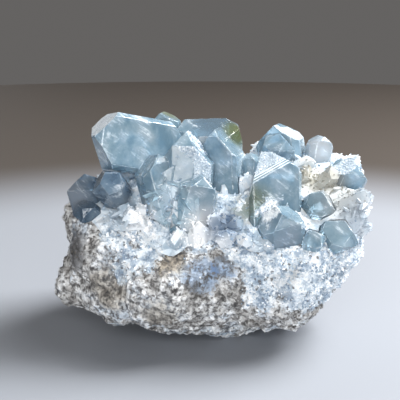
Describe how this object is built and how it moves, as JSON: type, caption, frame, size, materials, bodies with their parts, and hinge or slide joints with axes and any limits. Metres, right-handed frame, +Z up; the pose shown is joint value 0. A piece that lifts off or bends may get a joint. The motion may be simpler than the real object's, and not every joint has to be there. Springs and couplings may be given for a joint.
{
  "type": "celestite geode",
  "caption": "Broken piece of a celestite geode: a lump of speckled wall rock with a white crust of small crystals and large pale blue see-through crystals standing on it",
  "frame": {"origin": "under the middle of the bounding box, on the surface that the geode stands on", "axes": "+Z up, +X along the length towards the low right end, -Y towards the show side that the crystals face"},
  "size_m": [0.1202, 0.0848, 0.0867],
  "materials": {
    "wall_rock": "rough grey and tan speckled rock",
    "crystal_crust": "sugary white and pale blue crystals",
    "celestite": "clear to cloudy pale blue crystal, partly frosted",
    "dark_celestite": "darker grey-blue crystal"
  },
  "bodies": {
    "root": {"wall_rock": "wall_rock", "crystal_crust": "crystal_crust", "centre_crystals": "celestite", "right_crystals": "celestite", "ridge_crystals": "celestite", "ridge_end_crystal": "celestite", "end_crystal": "celestite", "back_crystals": "celestite", "back_edge_crystal": "celestite", "dark_left_crystal": "dark_celestite", "left_edge_crystals": "dark_celestite"}
  },
  "joints": []
}
